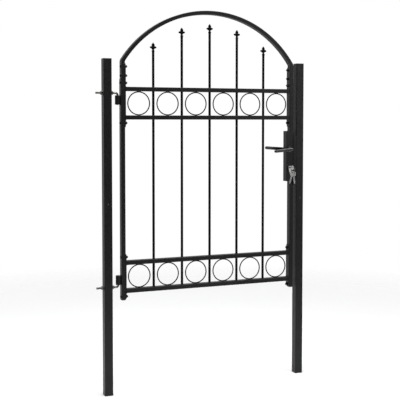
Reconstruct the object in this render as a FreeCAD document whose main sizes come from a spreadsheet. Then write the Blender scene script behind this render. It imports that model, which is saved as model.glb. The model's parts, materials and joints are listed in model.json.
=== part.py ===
import FreeCAD, Part
import math
import os
import re
import Sketcher

# Single garden gate with an arched top, hung between two square posts.
# Frame: origin at the centre of the hinge post's foot, +X towards the lock post,
# -Y towards the side the levers' key is on, +Z up. Millimetres.

SIZES = (
    # posts
    ("post_side", 40, "square post, across its flats"),
    ("post_wall", 2, "post tube wall"),
    ("post_corner", 3, "outer corner radius of the post tube"),
    ("post_rise", 1581, "length of the post tube"),
    ("post_spacing", 1010, "post centre to post centre"),
    ("cap_rise", 4, "post cap above the tube"),
    ("cap_plug", 20, "post cap inside the tube"),
    # leaf frame
    ("stile_width", 20, "stile tube across the gate"),
    ("frame_depth", 30, "stile, rail and arch tube front to back"),
    ("frame_wall", 1.5, "stile, rail and arch tube wall"),
    ("frame_corner", 2, "outer corner radius of the frame tubes"),
    ("hinge_stile_x", 75.5, "centre of the hinge stile"),
    ("lock_stile_x", 965, "centre of the lock stile"),
    ("leaf_foot", 453, "lower end of the stile tubes"),
    ("leaf_seam", 1491, "stile top, where the arch leg stands on it"),
    ("plug_rise", 6, "end plug below the stile tube"),
    ("arch_width", 18, "arch tube in the plane of the gate"),
    ("arch_corner", 1.5, "outer corner radius of the arch tube"),
    ("arch_radius", 538, "outer radius of the arch"),
    ("arch_centre", 1289, "height of the arch's centre"),
    ("arch_bend", 20, "bend between a leg and the arch, at the middle of the tube"),
    ("plate_thick", 4, "end plate thickness"),
    ("plate_taper", 12, "length of an end plate's narrowed end"),
    ("upper_plate_foot", 1265, "lower end of the upper end plates"),
    ("upper_plate_top", 1564, "upper end of the upper end plates"),
    ("lower_plate_top", 666, "upper end of the lower end plates"),
    ("rail_rise", 20, "height of a rail"),
    ("bottom_rail_z", 481, "underside of the bottom rail"),
    ("lower_band_z", 614.5, "underside of the rail over the lower rings"),
    ("upper_band_z", 1301, "underside of the rail under the upper rings"),
    ("top_rail_z", 1434.5, "underside of the top rail"),
    # infill
    ("bar_dia", 12, "upright bar"),
    ("bar_pitch", 145.3, "bar centre to bar centre"),
    ("bar_play", 0.1, "hole for a bar, over the bar's diameter"),
    ("outer_tip", 1666, "finial tip on the first and last bar"),
    ("inner_tip", 1742, "finial tip on the second and fourth bar"),
    ("middle_tip", 1765, "finial tip on the middle bar"),
    ("finial_rise", 46, "finial from its foot to its tip"),
    ("finial_thick", 8, "finial front to back"),
    ("collar_rise", 9, "collar at the finial's foot"),
    ("ring_rod", 5.5, "rod of a ring"),
    # bolted joints of the end plates
    ("bolt_dia", 8, "end plate bolt"),
    ("bolt_head", 16, "round bolt head"),
    ("bolt_head_rise", 4.5, "height of the round bolt head"),
    ("nut_flats", 13, "domed nut across its flats"),
    ("nut_rise", 6.5, "hexagonal part of a domed nut"),
    ("post_screw_x", 1013, "round-head screw in the lock post"),
    ("post_screw_z", 904, "height of that screw"),
    # hinges
    ("hinge_x", 53, "hinge axis"),
    ("hook_dia", 10, "hinge hook rod"),
    ("hook_tail", 54, "rod end beyond the post centre"),
    ("hook_bend", 10, "bend radius on the rod's centre line"),
    ("upper_hook_z", 1425, "rod of the upper hook"),
    ("lower_hook_z", 511, "rod of the lower hook"),
    ("upper_barrel_z", 1371, "lower end of the upper hinge barrel"),
    ("lower_barrel_z", 522, "lower end of the lower hinge barrel"),
    ("barrel_rise", 43, "length of a hinge barrel"),
    ("barrel_dia", 25, "hinge barrel"),
    ("pin_tip", 2, "hook pin beyond its barrel"),
    ("running_gap", 0.08, "radial play of a pin or shaft in its hole"),
    ("hook_nut_flats", 17, "M10 nut across its flats"),
    ("hook_nut_rise", 8, "M10 nut"),
    ("washer_dia", 24, "wide M10 washer"),
    ("washer_rise", 2, "M10 washer thickness"),
    # lock
    ("box_x", 934, "lock box face towards the hinges"),
    ("box_width", 45, "lock box across the gate"),
    ("box_depth", 36, "lock box front to back"),
    ("box_foot", 990, "underside of the lock box"),
    ("box_rise", 254, "height of the lock box"),
    ("box_wall", 2, "lock box sheet"),
    ("lock_x", 950, "lever and cylinder axes"),
    ("spindle_z", 1151, "lever axis"),
    ("cylinder_z", 1059, "cylinder axis"),
    ("forend_thick", 3, "forend plate"),
    ("case_wall", 1.5, "side plate of the lock case"),
    ("case_half", 9.5, "lock case from its middle to its outside"),
    ("neck_dia", 18, "lever neck"),
    ("lever_reach", 52, "grip's centre line from the middle of the gate"),
    ("lever_length", 102, "lever from its axis to its end"),
    ("lever_droop", 4.5, "degrees that the front grip hangs below level, and the rear one rises"),
    ("spindle_side", 8, "square spindle"),
    ("grub_y", 34, "grub screw, from the middle of the gate"),
    ("hub_dia", 16, "follower hub"),
    ("follower_arm", 20, "follower axis to the centre of its nose"),
    ("latch_z", 1182, "middle of the latch bolt"),
    ("latch_throw", 12, "latch bolt beyond the forend"),
    ("latch_back", 966, "back of the latch bolt's head"),
    ("latch_depth", 12, "latch bolt's head, front to back"),
    ("bolt_z", 1098, "middle of the dead bolt"),
    ("bolt_back", 962, "back of the dead bolt's head"),
    ("cylinder_half", 27, "cylinder from its middle to its end"),
    ("cylinder_dia", 17, "round part of the cylinder body"),
    ("plug_dia", 13, "cylinder plug"),
    ("cam_arm", 14, "plug axis to the centre of the cam's nose"),
    # keep
    ("keep_foot", 972, "underside of the keep"),
    ("keep_rise", 248, "height of the keep"),
    ("keep_sheet", 2.5, "keep sheet"),
    ("keep_reach", 7.5, "keep channel from the post face"),
    # keys
    ("key_sheet", 2, "key thickness"),
    ("bow_dia", 25, "key bow"),
    ("key_hole_dia", 9, "hole in a key bow"),
    ("key_length", 57, "key from the hole in its bow to its tip"),
    ("key_hole_y", 58, "hole of the key in the lock, from the middle of the gate"),
    ("key_ring_dia", 20, "centre line of the key ring"),
    ("key_ring_wire", 1.4, "wire of the key ring"),
    ("key_ring_drop", 0.8, "wire below the centre of the hole it hangs in"),
)

BAR_COUNT = 5
RING_COUNT = 6
FOLLOWER_REST = 40      # degrees from upright at which the follower's arm rests
CAM_REST = 30           # degrees from upright at which the cam rests
BOLT_HEIGHTS = (463, 651, 1285, 1473, 1507, 1550)
ALONG_X = FreeCAD.Rotation(FreeCAD.Vector(0, 1, 0), 90)
ALONG_Y = FreeCAD.Rotation(FreeCAD.Vector(1, 0, 0), -90)
HALF_TURN_X = FreeCAD.Rotation(FreeCAD.Vector(1, 0, 0), 180)
WORD = re.compile(r"[a-z]+(?:_[a-z]+)*")

Vector = FreeCAD.Vector
doc = FreeCAD.newDocument("garden_gate")
sheet = doc.addObject("Spreadsheet::Sheet", "Sizes")
nodes = []


def fill_sheet():
    """The driving dimensions, one to a row."""
    for row, (alias, value, note) in enumerate(SIZES, start=1):
        sheet.set(f"A{row}", note)
        sheet.set(f"B{row}", str(value))
        sheet.setAlias(f"B{row}", alias)
    doc.recompute()


def size(alias):
    """A driving dimension as a number."""
    return float(sheet.get(alias))


def formula(text):
    """The text as an expression on the sheet's cells."""
    names = {row[0] for row in SIZES}
    return WORD.sub(lambda word: "Sizes." + word.group() if word.group() in names else word.group(), text)


def bind(item, **formulas):
    """Binds properties to formulas on the sheet."""
    for prop, text in formulas.items():
        item.setExpression(prop, formula(text))


def place(item, x="0", y="0", z="0"):
    """Binds an object's place to formulas on the sheet."""
    for letter, text in zip("xyz", (x, y, z)):
        item.setExpression("Placement.Base." + letter, formula(text))


def node(item, label):
    """Marks an object as a finished sub-part."""
    item.Label = label
    nodes.append(item)
    return item


def block(name, x, y, z):
    """A box between two planes each way, every plane a formula."""
    item = doc.addObject("Part::Box", name)
    bind(item, Length=f"{x[1]} - ({x[0]})", Width=f"{y[1]} - ({y[0]})", Height=f"{z[1]} - ({z[0]})")
    place(item, x[0], y[0], z[0])
    return item


def rod(name, radius, start, length, turn=None):
    """A cylinder from its start along +Z, or along the turned direction."""
    item = doc.addObject("Part::Cylinder", name)
    if turn:
        item.Placement = FreeCAD.Placement(Vector(), turn)
    bind(item, Radius=radius, Height=length)
    place(item, *start)
    return item


def hexagon(name, flats, start, length, turn=None):
    """A hexagonal prism with its flats the given distance apart."""
    item = doc.addObject("Part::Prism", name)
    item.Polygon = 6
    if turn:
        item.Placement = FreeCAD.Placement(Vector(), turn)
    bind(item, Circumradius=f"({flats}) / sqrt(3)", Height=length)
    place(item, *start)
    return item


def fuse(name, *pieces):
    """One solid out of several."""
    item = doc.addObject("Part::MultiFuse", name)
    item.Shapes = list(pieces)
    item.Refine = True
    return item


def cut(name, base, *tools):
    """The base less every tool."""
    item = doc.addObject("Part::Cut", name)
    item.Base = base
    item.Tool = tools[0] if len(tools) == 1 else fuse(name + "_tools", *tools)
    return item


def group(label, shapes):
    """Identical loose pieces, or the few alike pieces of one kind, as one node."""
    item = doc.addObject("Part::Feature", label)
    item.Shape = Part.makeCompound(shapes)
    return node(item, label)


def moved(shape, x=0, y=0, z=0, turn=None):
    """A copy of a shape, turned about the origin and then moved."""
    copy = shape.copy()
    copy.Placement = FreeCAD.Placement(Vector(x, y, z), turn or FreeCAD.Rotation()).multiply(shape.Placement)
    return copy


def sketch_on(body, role, name):
    """A sketch on one of the body's own origin planes."""
    sketch = body.newObject("Sketcher::SketchObject", name)
    plane = next(item for item in body.Origin.OriginFeatures if item.Role == role)
    sketch.AttachmentSupport = [(plane, "")]
    sketch.MapMode = "FlatFace"
    return sketch


def rectangle(sketch, name, width, depth):
    """A rectangle centred on the sketch's origin, its sides bound to the sheet."""
    corners = [Vector(-5, -5), Vector(5, -5), Vector(5, 5), Vector(-5, 5)]
    first = sketch.GeometryCount
    for start, end in zip(corners, corners[1:] + corners[:1]):
        sketch.addGeometry(Part.LineSegment(start, end))
    for step in range(4):
        sketch.addConstraint(Sketcher.Constraint("Coincident", first + step, 2, first + (step + 1) % 4, 1))
    for step, kind in enumerate(("Horizontal", "Vertical", "Horizontal", "Vertical")):
        sketch.addConstraint(Sketcher.Constraint(kind, first + step))
    sketch.addConstraint(Sketcher.Constraint("Symmetric", first, 1, first + 2, 1, -1, 1))
    for step, kind, text in ((0, "DistanceX", width), (1, "DistanceY", depth)):
        index = sketch.addConstraint(Sketcher.Constraint(kind, first + step, 1, first + step, 2, 10))
        sketch.renameConstraint(index, name + kind)
        sketch.setExpression("Constraints." + name + kind, formula(text))


def long_edges(shape, axis):
    """Names of the straight edges along an axis that lie on the outside."""
    box = shape.BoundBox
    low = (box.XMin, box.YMin, box.ZMin)
    high = (box.XMax, box.YMax, box.ZMax)
    across = [k for k in range(3) if k != axis]
    names = []
    for number, edge in enumerate(shape.Edges, start=1):
        ends = [vertex.Point for vertex in edge.Vertexes]
        if all(any(abs(end[k] - side[k]) < 1e-6 for side in (low, high)) for end in ends for k in across):
            if abs(ends[0][axis] - ends[-1][axis]) > 1:
                names.append(f"Edge{number}")
    return names


def tube(name, plane, axis, width, depth, wall, corner, length):
    """A rectangular tube with rounded outer corners, made along its body's axis."""
    body = doc.addObject("PartDesign::Body", name)
    sketch = sketch_on(body, plane, name + "_section")
    rectangle(sketch, "outer", width, depth)
    rectangle(sketch, "inner", f"{width} - 2 * {wall}", f"{depth} - 2 * {wall}")
    pad = body.newObject("PartDesign::Pad", name + "_pad")
    pad.Profile = sketch
    bind(pad, Length=length)
    doc.recompute()
    fillet = body.newObject("PartDesign::Fillet", name + "_corners")
    fillet.Base = (pad, long_edges(pad.Shape, axis))
    bind(fillet, Radius=corner)
    return body


def post(label, x, holes):
    """A square post standing at x, with the given holes in it."""
    args = ("post_side", "post_side", "post_wall", "post_corner", "post_rise")
    body = tube(label + "_tube", "XY_Plane", 2, *args)
    place(body, x=x)
    node(cut(label, body, *holes), label)


def hinge_post():
    holes = []
    for name, height in (("upper", "upper_hook_z"), ("lower", "lower_hook_z")):
        start = ("-post_side", "0", height)
        holes.append(rod(name + "_hook_hole", "hook_dia / 2 + 0.1", start, "2 * post_side", ALONG_X))
    post("hinge_post", "0", holes)


def lock_post():
    face = "post_spacing - post_side / 2"
    through = (face + " - 1", face + " + 5")
    windows = [
        block("post_latch_window", through, ("-7.5", "7.5"), ("latch_z - 10", "latch_z + 10")),
        block("post_bolt_window", through, ("-7.5", "7.5"), ("bolt_z - 10.5", "bolt_z + 10.5")),
        rod("post_screw_hole", "2", ("post_screw_x", "-post_side", "post_screw_z"), "post_side", ALONG_Y),
    ]
    for number, height in enumerate(("keep_foot + 12", "keep_foot + keep_rise - 12"), start=1):
        start = (face + " - 1", "0", height)
        windows.append(rod(f"keep_screw_hole_{number}", "2.5", start, "6", ALONG_X))
    post("lock_post", "post_spacing", windows)


def post_caps():
    """Flat plastic caps, each with a plug that grips inside the tube."""
    side = size("post_side")
    inner = side - 2 * size("post_wall") - 0.2
    top = Part.makeBox(side, side, size("cap_rise"), Vector(-side / 2, -side / 2, 0))
    rounded = [edge for edge in top.Edges if abs(edge.BoundBox.ZLength - size("cap_rise")) < 1e-6]
    top = top.makeFillet(size("post_corner"), rounded)
    rim = [edge for edge in top.Edges if edge.BoundBox.ZMin > size("cap_rise") - 1e-6]
    top = top.makeFillet(1.2, rim)
    plug = Part.makeBox(inner, inner, size("cap_plug"), Vector(-inner / 2, -inner / 2, -size("cap_plug")))
    rise = size("cap_plug")
    corner = Vector(2 - inner / 2, 2 - inner / 2, -rise)
    hollow = Part.makeBox(inner - 4, inner - 4, rise, corner)
    cap = top.fuse(plug).cut(hollow.translated(Vector(0, 0, -2)))
    group("post_caps", [moved(cap, x, 0, size("post_rise")) for x in (0, size("post_spacing"))])


def hook(label, height, pin, turn=None):
    """A threaded rod bent through a right angle; its short leg is the hinge pin."""
    body = doc.addObject("PartDesign::Body", label)
    bend = size("hook_bend")
    reach = size("hinge_x") + size("hook_tail")
    spine = sketch_on(body, "XZ_Plane", label + "_spine")
    corner = Vector(reach - bend, -bend)
    middle = corner + Vector(bend * math.cos(math.pi / 4), bend * math.sin(math.pi / 4))
    spine.addGeometry(Part.LineSegment(Vector(0, 0), Vector(reach - bend, 0)))
    spine.addGeometry(Part.Arc(Vector(reach - bend, 0), middle, Vector(reach, -bend)))
    spine.addGeometry(Part.LineSegment(Vector(reach, -bend), Vector(reach, -pin)))
    section = sketch_on(body, "YZ_Plane", label + "_section")
    section.addGeometry(Part.Circle(Vector(), Vector(0, 0, 1), 5))
    index = section.addConstraint(Sketcher.Constraint("Diameter", 0, 10))
    section.renameConstraint(index, "rod")
    section.setExpression("Constraints.rod", formula("hook_dia"))
    doc.recompute()
    pipe = body.newObject("PartDesign::AdditivePipe", label + "_pipe")
    pipe.Profile = section
    pipe.Spine = (spine, ["Edge1", "Edge2", "Edge3"])
    doc.recompute()
    ends = [
        f"Edge{number}"
        for number, edge in enumerate(pipe.Shape.Edges, start=1)
        if edge.BoundBox.XMax < 1e-3 or edge.BoundBox.ZMax < 1e-3 - pin
    ]
    chamfer = body.newObject("PartDesign::Chamfer", label + "_ends")
    chamfer.Base = (pipe, ends)
    chamfer.Size = 1
    if turn:
        body.Placement = FreeCAD.Placement(Vector(), turn)
    place(body, "-hook_tail", "0", height)
    node(body, label)


def hook_fasteners():
    """A washer and a nut on each side of the hinge post, on both hooks."""
    nut = hexagon("hook_nut", "hook_nut_flats", ("0", "0", "0"), "hook_nut_rise", ALONG_X)
    bore = rod("hook_nut_bore", "hook_dia / 2 + 0.05", ("-1", "0", "0"), "hook_nut_rise + 2", ALONG_X)
    disc = rod("hook_washer", "washer_dia / 2", ("0", "0", "0"), "washer_rise", ALONG_X)
    round_nut = doc.addObject("Part::Common", "hook_nut_rounded")
    round_nut.Base = nut
    round_nut.Tool = nut_envelope("hook_nut_envelope", "hook_nut_flats", "hook_nut_rise")
    nut_shape = cut("hook_nut_bored", round_nut, bore)
    washer_shape = cut("hook_washer_bored", disc, bore)
    doc.recompute()
    face = size("post_side") / 2
    thick = size("washer_rise")
    heights = (size("upper_hook_z"), size("lower_hook_z"))
    nut_places = (-face - thick - size("hook_nut_rise"), face + thick)
    washer_places = (-face - thick, face)
    group("hook_nuts", [moved(nut_shape.Shape, x, 0, z) for z in heights for x in nut_places])
    group("hook_washers", [moved(washer_shape.Shape, x, 0, z) for z in heights for x in washer_places])


def nut_envelope(name, flats, rise):
    """Two cones back to back along X: they take the corners off a nut's ends."""
    cones = []
    for side, start, first, second in (("near", "0", 0.95, 1.18), ("far", f"{rise} / 2", 1.18, 0.95)):
        cone = doc.addObject("Part::Cone", f"{name}_{side}")
        cone.Placement = FreeCAD.Placement(Vector(), ALONG_X)
        bind(cone, Radius1=f"{flats} / 2 * {first}", Radius2=f"{flats} / 2 * {second}", Height=f"{rise} / 2")
        place(cone, x=start)
        cones.append(cone)
    return fuse(name, *cones)


def bolt_holes(name, stile_x, heights):
    """Holes across a stile for the end plate bolts that lie within the heights."""
    start = f"{stile_x} - stile_width"
    low, high = heights
    across = ("2 * stile_width", ALONG_X)
    return [
        rod(f"{name}_hole_{height}", "bolt_dia / 2 + 0.1", (start, "0", str(height)), *across)
        for height in BOLT_HEIGHTS
        if low < height < high
    ]


def stile(label, x, foot, top):
    """A length of stile tube from foot to top, drilled for its bolts."""
    args = ("stile_width", "frame_depth", "frame_wall", "frame_corner", f"{top} - ({foot})")
    body = tube(label + "_tube", "XY_Plane", 2, *args)
    place(body, x, "0", foot)
    doc.recompute()
    box = body.Shape.BoundBox
    node(cut(label, body, *bolt_holes(label, x, (box.ZMin, box.ZMax))), label)


def stile_plugs():
    """Round-bottomed plastic plugs in the lower ends of both stiles."""
    width = size("stile_width")
    depth = size("frame_depth")
    rise = size("plug_rise")
    wall = size("frame_wall") + 0.1
    head = Part.makeBox(width, depth, rise, Vector(-width / 2, -depth / 2, -rise))
    upright = [edge for edge in head.Edges if edge.BoundBox.ZLength > rise - 1e-6]
    head = head.makeFillet(size("frame_corner"), upright)
    lower = [edge for edge in head.Edges if edge.BoundBox.ZMax < 1e-3 - rise]
    head = head.makeFillet(rise * 0.7, lower)
    corner = Vector(wall - width / 2, wall - depth / 2, 0)
    stem = Part.makeBox(width - 2 * wall, depth - 2 * wall, rise, corner)
    plug = head.fuse(stem)
    foot = size("leaf_foot")
    group("stile_plugs", [moved(plug, size(x), 0, foot) for x in ("hinge_stile_x", "lock_stile_x")])


def arch_outline(sketch, inset):
    """The arch's outline in its own plane, drawn inset from the tube's outside: legs, bends and round top."""
    half = (size("lock_stile_x") - size("hinge_stile_x") + size("stile_width")) / 2
    middle = half - size("stile_width") + size("arch_width") / 2
    radius = size("arch_radius") - size("arch_width") / 2
    centre = size("arch_centre") - size("leaf_seam")
    bend = size("arch_bend")
    across = middle - bend
    spring = centre + math.sqrt((radius - bend) ** 2 - across ** 2)
    turn = math.atan2(spring - centre, across)
    for offset in (size("arch_width") / 2 - inset, inset - size("arch_width") / 2):
        ends = [
            (across + (bend + offset) * math.cos(angle), spring + (bend + offset) * math.sin(angle))
            for angle in (0, turn / 2, turn)
        ]
        for side in (-1, 1):
            start, half_way, end = [Vector(side * x, z) for x, z in ends]
            sketch.addGeometry(Part.LineSegment(Vector(start.x, 0), start))
            sketch.addGeometry(Part.Arc(start, half_way, end))
        crown = Vector(0, centre + radius + offset)
        sketch.addGeometry(Part.Arc(Vector(-end.x, end.y), crown, end))
    near = middle - size("arch_width") / 2 + inset
    far = middle + size("arch_width") / 2 - inset
    for side in (-1, 1):
        sketch.addGeometry(Part.LineSegment(Vector(side * near, 0), Vector(side * far, 0)))


def arch():
    """A bent rectangular tube: a round arch on two short straight legs."""
    body = doc.addObject("PartDesign::Body", "arch_tube")
    outside = sketch_on(body, "XZ_Plane", "arch_outside")
    arch_outline(outside, 0)
    pad = body.newObject("PartDesign::Pad", "arch_pad")
    pad.Profile = outside
    pad.SideType = "Symmetric"
    bind(pad, Length="frame_depth")
    inside = sketch_on(body, "XZ_Plane", "arch_inside")
    arch_outline(inside, size("frame_wall"))
    pocket = body.newObject("PartDesign::Pocket", "arch_hollow")
    pocket.Profile = inside
    pocket.SideType = "Symmetric"
    bind(pocket, Length="frame_depth - 2 * frame_wall")
    doc.recompute()
    half = size("frame_depth") / 2
    boxes = [(number, edge.BoundBox) for number, edge in enumerate(pocket.Shape.Edges, start=1)]
    edges = [
        f"Edge{number}"
        for number, box in boxes
        if box.YLength < 1e-6 and abs(abs(box.YMin) - half) < 1e-6 and box.ZLength > 1
    ]
    fillet = body.newObject("PartDesign::Fillet", "arch_corners")
    fillet.Base = (pocket, edges)
    bind(fillet, Radius="arch_corner")
    place(body, "(hinge_stile_x + lock_stile_x) / 2", "0", "leaf_seam")
    legs = bolt_holes("arch_left", "hinge_stile_x", (size("leaf_seam"), 2000))
    legs += bolt_holes("arch_right", "lock_stile_x", (size("leaf_seam"), 2000))
    node(cut("arch", body, *legs), "arch")


def end_plates(label, foot, top):
    """A pair of flat plates with narrowed ends, on the inner faces of the two stiles."""
    thick = size("plate_thick")
    half = size("frame_depth") / 2
    taper = size("plate_taper")
    outline = [
        Vector(0, -half + 5, foot), Vector(0, half - 5, foot), Vector(0, half, foot + taper),
        Vector(0, half, top - taper), Vector(0, half - 5, top), Vector(0, -half + 5, top),
        Vector(0, -half, top - taper), Vector(0, -half, foot + taper),
    ]
    plate = Part.Face(Part.makePolygon(outline + outline[:1])).extrude(Vector(thick, 0, 0))
    for height in BOLT_HEIGHTS:
        if foot < height < top:
            start = Vector(-1, 0, height)
            hole = Part.makeCylinder(size("bolt_dia") / 2 + 0.1, thick + 2, start, Vector(1, 0, 0))
            plate = plate.cut(hole)
    near = size("hinge_stile_x") + size("stile_width") / 2
    far = size("lock_stile_x") - size("stile_width") / 2 - thick
    group(label, [moved(plate, near), moved(plate, far)])


def rail(label, z, first_hole="-5"):
    """A rail between the end plates; the bars' holes go up from first_hole."""
    span = "lock_stile_x - hinge_stile_x - stile_width - 2 * plate_thick"
    args = ("frame_depth", "rail_rise", "frame_wall", "frame_corner", span)
    body = tube(label + "_tube", "YZ_Plane", 0, *args)
    place(body, "hinge_stile_x + stile_width / 2 + plate_thick", "0", f"{z} + rail_rise / 2")
    start = f"{z} + ({first_hole})"
    holes = [
        rod(f"{label}_hole_{number}", "bar_dia / 2 + bar_play", (bar_x(number), "0", start), "30")
        for number in range(1, BAR_COUNT + 1)
    ]
    node(cut(label, body, *holes), label)


def bar_x(number):
    """Centre of a bar, counted from the hinges."""
    return f"(hinge_stile_x + lock_stile_x) / 2 + ({number - (BAR_COUNT + 1) / 2}) * bar_pitch"


def tip_alias(number):
    """Which of the sheet's three tip heights a bar reaches."""
    return ("outer_tip", "inner_tip", "middle_tip")[min(number, BAR_COUNT + 1 - number) - 1]


def bar(number):
    """An upright bar from the floor of the bottom rail to its finial."""
    start = (bar_x(number), "0", "bottom_rail_z + frame_wall")
    length = f"{tip_alias(number)} - finial_rise - bottom_rail_z - frame_wall"
    node(rod(f"bar_{number}", "bar_dia / 2", start, length), f"bar_{number}")


def finial_leaf(name):
    """The flat flower of a finial: a pointed leaf over two side lobes."""
    body = doc.addObject("PartDesign::Body", name)
    sketch = sketch_on(body, "XZ_Plane", name + "_outline")
    tip = size("finial_rise")
    foot = size("collar_rise") - 2
    stem = (4.5, foot)
    under_lobe = (13, 18.4)
    over_lobe = (13, 27.6)
    throat = (6.5, 28.5)
    shoulder = (6, 38.5)
    arcs = (
        (stem, (6.2, foot + 8), under_lobe),
        (under_lobe, (17, 23), over_lobe),
        (over_lobe, (9.5, 26.9), throat),
        (throat, (8, 33.5), shoulder),
    )
    for side in (1, -1):
        for arc in arcs:
            sketch.addGeometry(Part.Arc(*[Vector(side * x, z) for x, z in arc]))
        sketch.addGeometry(Part.LineSegment(Vector(side * shoulder[0], shoulder[1]), Vector(0, tip)))
    sketch.addGeometry(Part.LineSegment(Vector(-4.5, foot), Vector(4.5, foot)))
    pad = body.newObject("PartDesign::Pad", name + "_pad")
    pad.Profile = sketch
    pad.SideType = "Symmetric"
    bind(pad, Length="finial_thick")
    return body


def finial(number):
    """A cast finial with a ringed collar, standing on its bar."""
    name = f"finial_{number}"
    collar = rod(name + "_collar", "bar_dia / 2 + 0.5", ("0", "0", "0"), "collar_rise")
    ring = doc.addObject("Part::Torus", name + "_ring")
    bind(ring, Radius1="bar_dia / 2", Radius2="2")
    place(ring, z="collar_rise - 3")
    whole = fuse(name, finial_leaf(name + "_leaf"), collar, ring)
    place(whole, bar_x(number), "0", f"{tip_alias(number)} - finial_rise")
    node(whole, name)


def rings(label, z):
    """A row of rings, each touching the rails above and below it."""
    outer = (size("lower_band_z") - size("bottom_rail_z") - size("rail_rise")) / 2
    wire = size("ring_rod") / 2
    middle = (size("hinge_stile_x") + size("lock_stile_x")) / 2
    shapes = []
    for number in range(RING_COUNT):
        x = middle + (number - (RING_COUNT - 1) / 2) * size("bar_pitch")
        height = size(z) + size("rail_rise") + outer
        shapes.append(Part.makeTorus(outer - wire, wire, Vector(x, 0, height), Vector(0, 1, 0)))
    group(label, shapes)


def plate_fasteners():
    """Round-head bolts from outside each stile, domed nuts on the end plates."""
    radius = size("bolt_dia") / 2
    head_radius = size("bolt_head") / 2
    rise = size("bolt_head_rise")
    sphere_radius = (head_radius ** 2 + rise ** 2) / (2 * rise)
    dome = Part.makeSphere(sphere_radius, Vector(sphere_radius - rise, 0, 0))
    head = dome.common(Part.makeBox(rise, 40, 40, Vector(-rise, -20, -20)))
    nut_rise = size("nut_rise")
    flats = size("nut_flats")
    corners = [Vector(0, flats / math.sqrt(3) * math.cos(math.radians(k * 60)),
                      flats / math.sqrt(3) * math.sin(math.radians(k * 60))) for k in range(7)]
    prism = Part.Face(Part.makePolygon(corners)).extrude(Vector(nut_rise, 0, 0))
    cap = Part.makeSphere(flats / 2 - 0.4).common(Part.makeBox(flats, 40, 40, Vector(0, -20, -20)))
    cap = cap.translated(Vector(nut_rise - 1, 0, 0))
    depth = nut_rise - 0.5
    bore = Part.makeCylinder(radius, depth, Vector(), Vector(1, 0, 0))
    nut = prism.fuse(cap).cut(bore)
    bolts = []
    nuts = []
    for height in BOLT_HEIGHTS:
        across = size("arch_width") if height > size("leaf_seam") else size("stile_width")
        shank = Part.makeCylinder(radius, across + size("plate_thick") + depth, Vector(), Vector(1, 0, 0))
        bolt = head.fuse(shank)
        for stile_x, side in ((size("hinge_stile_x"), 1), (size("lock_stile_x"), -1)):
            turn = FreeCAD.Rotation() if side > 0 else FreeCAD.Rotation(Vector(0, 0, 1), 180)
            inner_face = stile_x + side * size("stile_width") / 2
            bolts.append(moved(bolt, inner_face - side * across, 0, height, turn))
            nuts.append(moved(nut, inner_face + side * size("plate_thick"), 0, height, turn))
    group("plate_bolts", bolts)
    group("plate_nuts", nuts)


def barrel(label, foot):
    """A hinge barrel welded to the hinge stile; the hook's pin turns in it."""
    outside = rod(label + "_outside", "barrel_dia / 2", ("hinge_x", "0", foot), "barrel_rise")
    start = ("hinge_x", "0", f"{foot} - 1")
    bore = rod(label + "_bore", "hook_dia / 2 + running_gap", start, "barrel_rise + 2")
    node(cut(label, outside, bore), label)


def lock_box():
    """A folded and welded box round the lock, open towards the lock post."""
    width = ("box_x", "box_x + box_width")
    rise = ("box_foot", "box_foot + box_rise")
    outside = block("box_outside", width, ("-box_depth / 2", "box_depth / 2"), rise)
    doc.recompute()
    rounded = doc.addObject("Part::Fillet", "box_rounded")
    rounded.Base = outside
    folds = [
        number for number, edge in enumerate(outside.Shape.Edges, start=1)
        if edge.BoundBox.ZLength > 1 and edge.BoundBox.XMax < size("box_x") + 1e-3
    ]
    rounded.Edges = [(number, size("box_wall"), size("box_wall")) for number in folds]
    hollow = block(
        "box_hollow",
        ("box_x + box_wall", "box_x + box_width + 1"),
        ("box_wall - box_depth / 2", "box_depth / 2 - box_wall"),
        ("box_foot + box_wall", "box_foot + box_rise - box_wall"),
    )
    face = ("lock_x", "-box_depth", "spindle_z")
    tools = [hollow, rod("box_spindle_hole", "neck_dia / 2 + 1", face, "2 * box_depth", ALONG_Y)]
    tools.append(cylinder_profile("box_cylinder_hole", ("-box_depth", "box_depth"), 0.3))
    lugs = []
    for number, height in enumerate(forend_screw_heights(), start=1):
        lug = block(
            f"box_lug_{number}",
            ("box_x + box_width - 12", "box_x + box_width - 2"),
            ("box_wall / 2 - box_depth / 2", "box_depth / 2 - box_wall / 2"),
            (f"{height} - 5", f"{height} + 5"),
        )
        start = ("box_x + box_width - 13", "0", height)
        tap = rod(f"lug_hole_{number}", "2", start, "12", ALONG_X)
        lugs.append(cut(f"box_lug_{number}_tapped", lug, tap))
    node(fuse("lock_box", cut("box_shell", rounded, *tools), *lugs), "lock_box")


def forend_screw_heights():
    """Heights of the two screws that hold the forend."""
    return "box_foot + 12", "box_foot + box_rise - 12"


def cylinder_profile(name, y, grow):
    """The profile of a lock cylinder, round above a narrow lug, between two planes."""
    length = f"{y[1]} - ({y[0]})"
    top = rod(name + "_round", f"cylinder_dia / 2 + {grow}", ("lock_x", y[0], "cylinder_z"), length, ALONG_Y)
    sides = (f"lock_x - 5 - {grow}", f"lock_x + 5 + {grow}")
    lug = block(name + "_lug", sides, y, ("cylinder_z - 19.5", "cylinder_z"))
    foot = rod(name + "_foot", f"5 + {grow}", ("lock_x", y[0], "cylinder_z - 19.5"), length, ALONG_Y)
    return fuse(name, top, lug, foot)


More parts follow.
